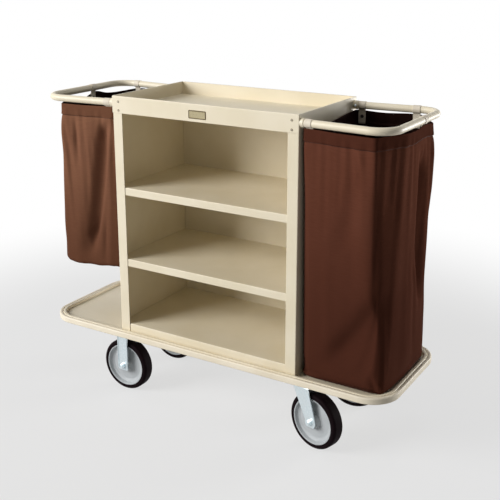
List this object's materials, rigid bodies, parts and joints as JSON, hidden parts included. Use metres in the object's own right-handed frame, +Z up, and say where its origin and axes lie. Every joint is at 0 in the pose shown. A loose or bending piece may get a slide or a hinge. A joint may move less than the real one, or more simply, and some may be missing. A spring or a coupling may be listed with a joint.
{
  "type": "housekeeping cart",
  "caption": "Sheet-steel housekeeping cart with open shelves, a top tray, hanging fabric bags on tube frames, a wrap-around bumper and large wheels.",
  "frame": {"origin": "on the floor, at the middle of the cart's length and depth", "axes": "+X along the cart towards the swivel casters and the long bag, +Y from the open shelf front to the closed back, +Z up"},
  "size_m": [1.45, 0.488, 1.168],
  "materials": {
    "powder_coat": "almond powder coat, satin",
    "bumper_vinyl": "extruded almond vinyl",
    "zinc": "bright zinc plating",
    "steel": "plain turned steel",
    "wheel_plastic": "moulded grey plastic",
    "tyre_rubber": "black cushion rubber",
    "bag_nylon": "brown coated nylon cloth",
    "webbing": "cream woven webbing",
    "snap_metal": "darkened snap"
  },
  "bodies": {
    "cart": {"platform_deck": "powder_coat", "bumper": "bumper_vinyl", "left_channel": "powder_coat", "right_channel": "powder_coat", "left_side_panel": "powder_coat", "right_side_panel": "powder_coat", "back_panel": "powder_coat", "top_tray": "powder_coat", "upper_shelf": "powder_coat", "middle_shelf": "powder_coat", "bottom_shelf": "powder_coat", "tray_screws": "zinc", "base_screws": "zinc", "left_bag_frame": "powder_coat", "right_bag_frame": "powder_coat", "left_collars": "powder_coat", "right_collars": "powder_coat", "collar_screws": "zinc", "left_bag": "bag_nylon", "right_bag": "bag_nylon", "left_straps": "webbing", "right_straps": "webbing", "left_snaps": "snap_metal", "right_snaps": "snap_metal", "caster_bolts": "zinc", "caster_nuts": "zinc", "front_left_fork": "zinc", "front_left_axle": "zinc", "front_left_spacer": "steel", "back_left_fork": "zinc", "back_left_axle": "zinc", "back_left_spacer": "steel", "front_right_plate": "zinc", "front_right_kingpin": "steel", "front_right_kingpin_nut": "zinc", "front_right_balls": "steel", "back_right_plate": "zinc", "back_right_kingpin": "steel", "back_right_kingpin_nut": "zinc", "back_right_balls": "steel"},
    "front_left_wheel": {"front_left_bearing": "steel", "front_left_disc": "wheel_plastic", "front_left_tyre": "tyre_rubber"},
    "back_left_wheel": {"back_left_bearing": "steel", "back_left_disc": "wheel_plastic", "back_left_tyre": "tyre_rubber"},
    "front_right_swivel": {"front_right_fork": "zinc", "front_right_axle": "zinc", "front_right_spacer": "steel"},
    "back_right_swivel": {"back_right_fork": "zinc", "back_right_axle": "zinc", "back_right_spacer": "steel"},
    "front_right_wheel": {"front_right_bearing": "steel", "front_right_disc": "wheel_plastic", "front_right_tyre": "tyre_rubber"},
    "back_right_wheel": {"back_right_bearing": "steel", "back_right_disc": "wheel_plastic", "back_right_tyre": "tyre_rubber"}
  },
  "joints": [
    {"name": "front_left_roll", "type": "hinge", "parent": "cart", "child": "front_left_wheel", "pos_m": [-0.395, -0.158, 0.1016], "axis": [0, 1, 0], "continuous": true},
    {"name": "front_right_turn", "type": "hinge", "parent": "cart", "child": "front_right_swivel", "pos_m": [0.395, -0.158, 0.226], "axis": [0, 0, 1], "continuous": true},
    {"name": "front_right_roll", "type": "hinge", "parent": "front_right_swivel", "child": "front_right_wheel", "pos_m": [0.43769, -0.16864, 0.1016], "axis": [0.2419, 0.9703, 0], "continuous": true},
    {"name": "back_left_roll", "type": "hinge", "parent": "cart", "child": "back_left_wheel", "pos_m": [-0.395, 0.158, 0.1016], "axis": [0, 1, 0], "continuous": true},
    {"name": "back_right_turn", "type": "hinge", "parent": "cart", "child": "back_right_swivel", "pos_m": [0.395, 0.158, 0.226], "axis": [0, 0, 1], "continuous": true},
    {"name": "back_right_roll", "type": "hinge", "parent": "back_right_swivel", "child": "back_right_wheel", "pos_m": [0.43635, 0.17305, 0.1016], "axis": [-0.342, 0.9397, 0], "continuous": true}
  ]
}
